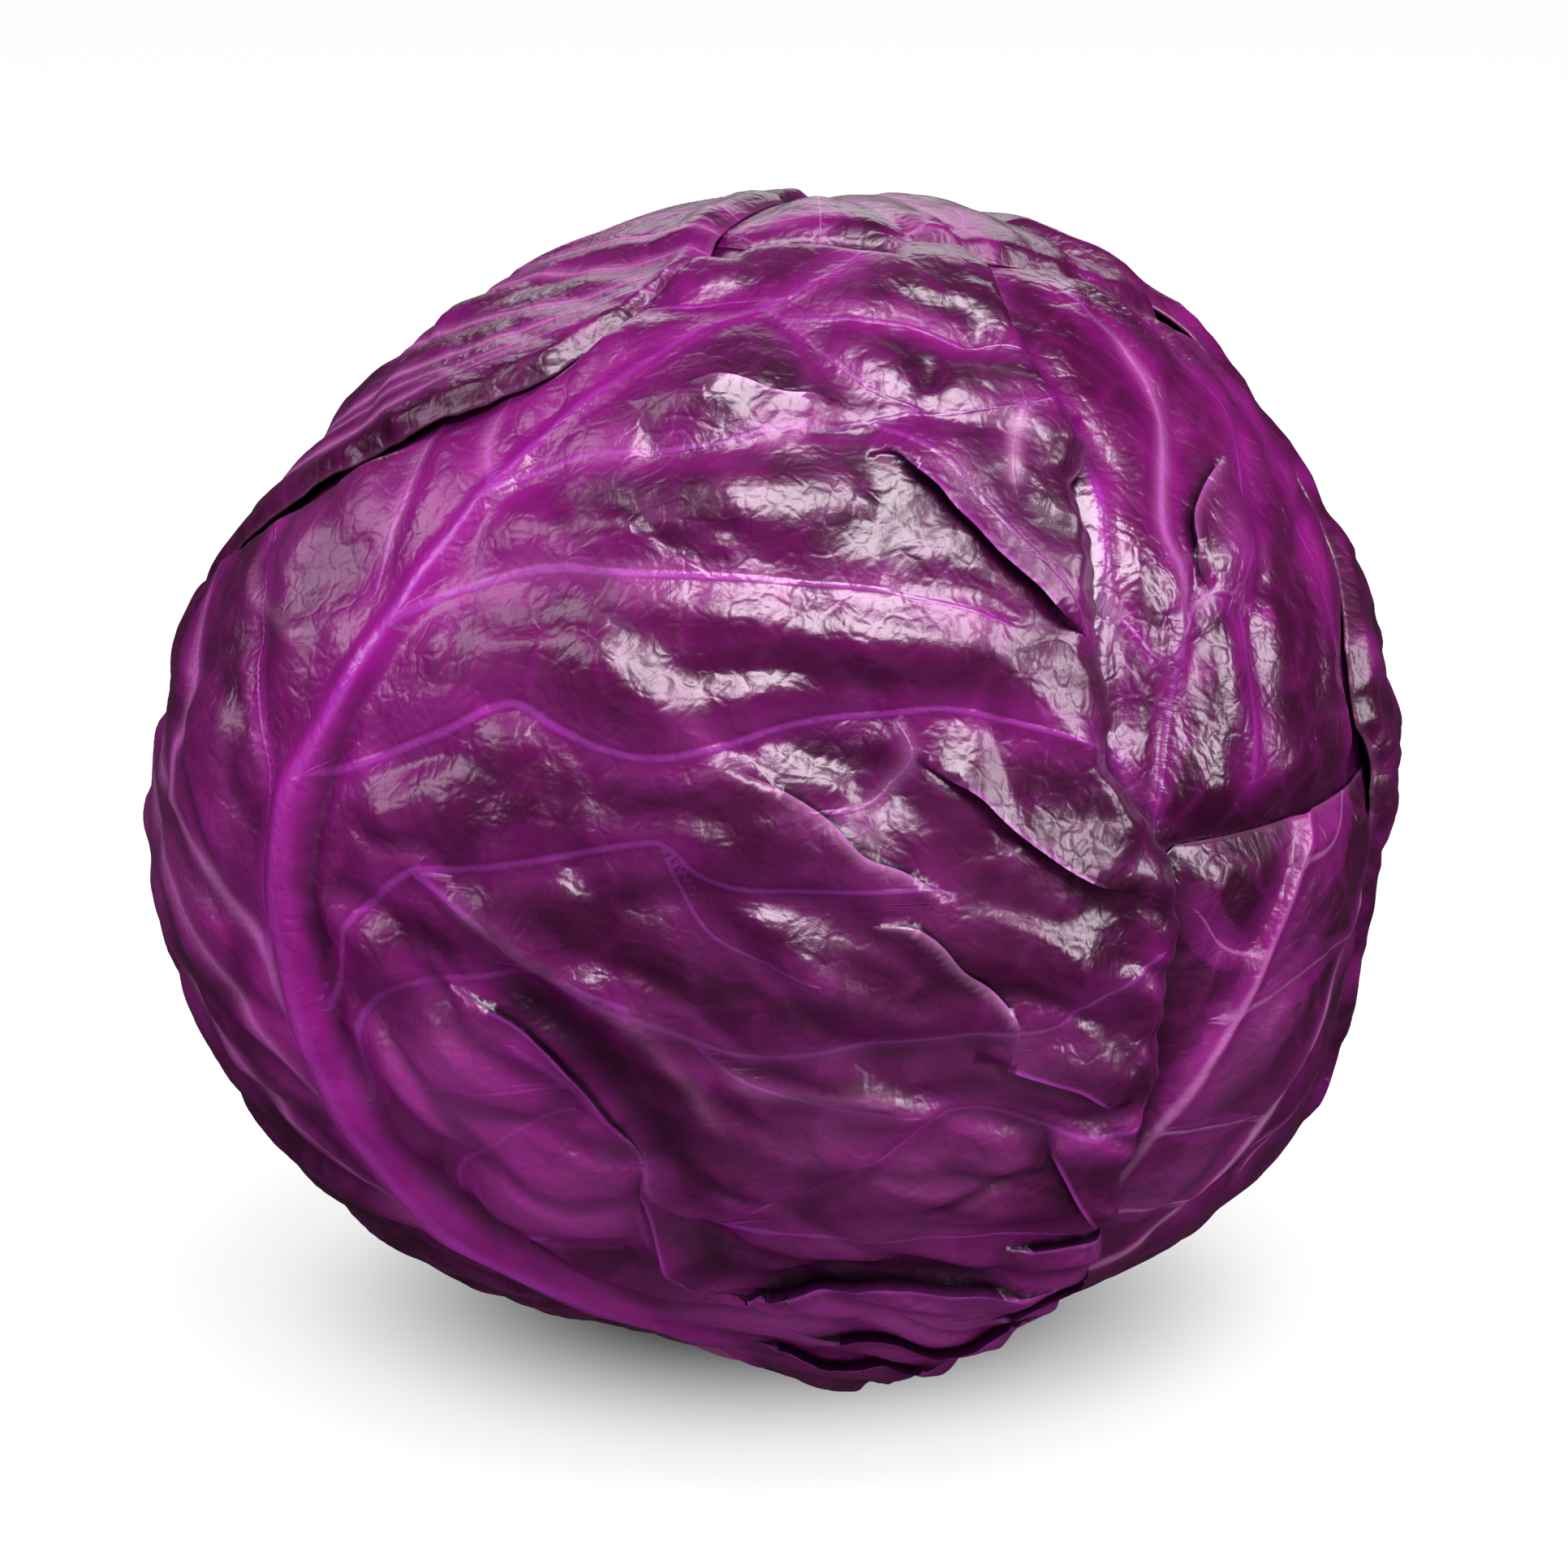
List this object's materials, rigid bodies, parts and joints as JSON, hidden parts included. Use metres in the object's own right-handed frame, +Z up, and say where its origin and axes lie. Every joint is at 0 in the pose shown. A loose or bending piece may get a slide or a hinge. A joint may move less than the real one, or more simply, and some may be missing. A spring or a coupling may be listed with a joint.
{
  "type": "red cabbage head",
  "caption": "Round red cabbage head of wrapped outer leaves with raised midribs, standing on its cut stem.",
  "frame": {"origin": "middle of the flat cut end of the stem, on the surface the head stands on", "axes": "+Z up along the stem towards the crown, -Y towards the front leaf's face, +X to the right of the front"},
  "size_m": [0.1756, 0.1719, 0.1695],
  "materials": {
    "inner_leaf": "waxy satin leaf, deep purple",
    "front_leaf": "waxy satin leaf, magenta purple with paler ribs",
    "glossy_leaf": "glossy leaf, dark purple",
    "ribbed_leaf": "waxy satin leaf with whitish ribs",
    "outer_leaf": "waxy satin leaf, purple",
    "cut_stem": "matt cut surface, pale lilac"
  },
  "bodies": {
    "root": {"inner_head": "inner_leaf", "cut_stem": "cut_stem", "crown_leaf": "inner_leaf", "right_upper_leaf": "glossy_leaf", "right_lower_leaf": "ribbed_leaf", "front_leaf": "front_leaf", "back_leaf": "outer_leaf", "back_right_leaf": "outer_leaf", "left_back_leaf": "outer_leaf"}
  },
  "joints": []
}
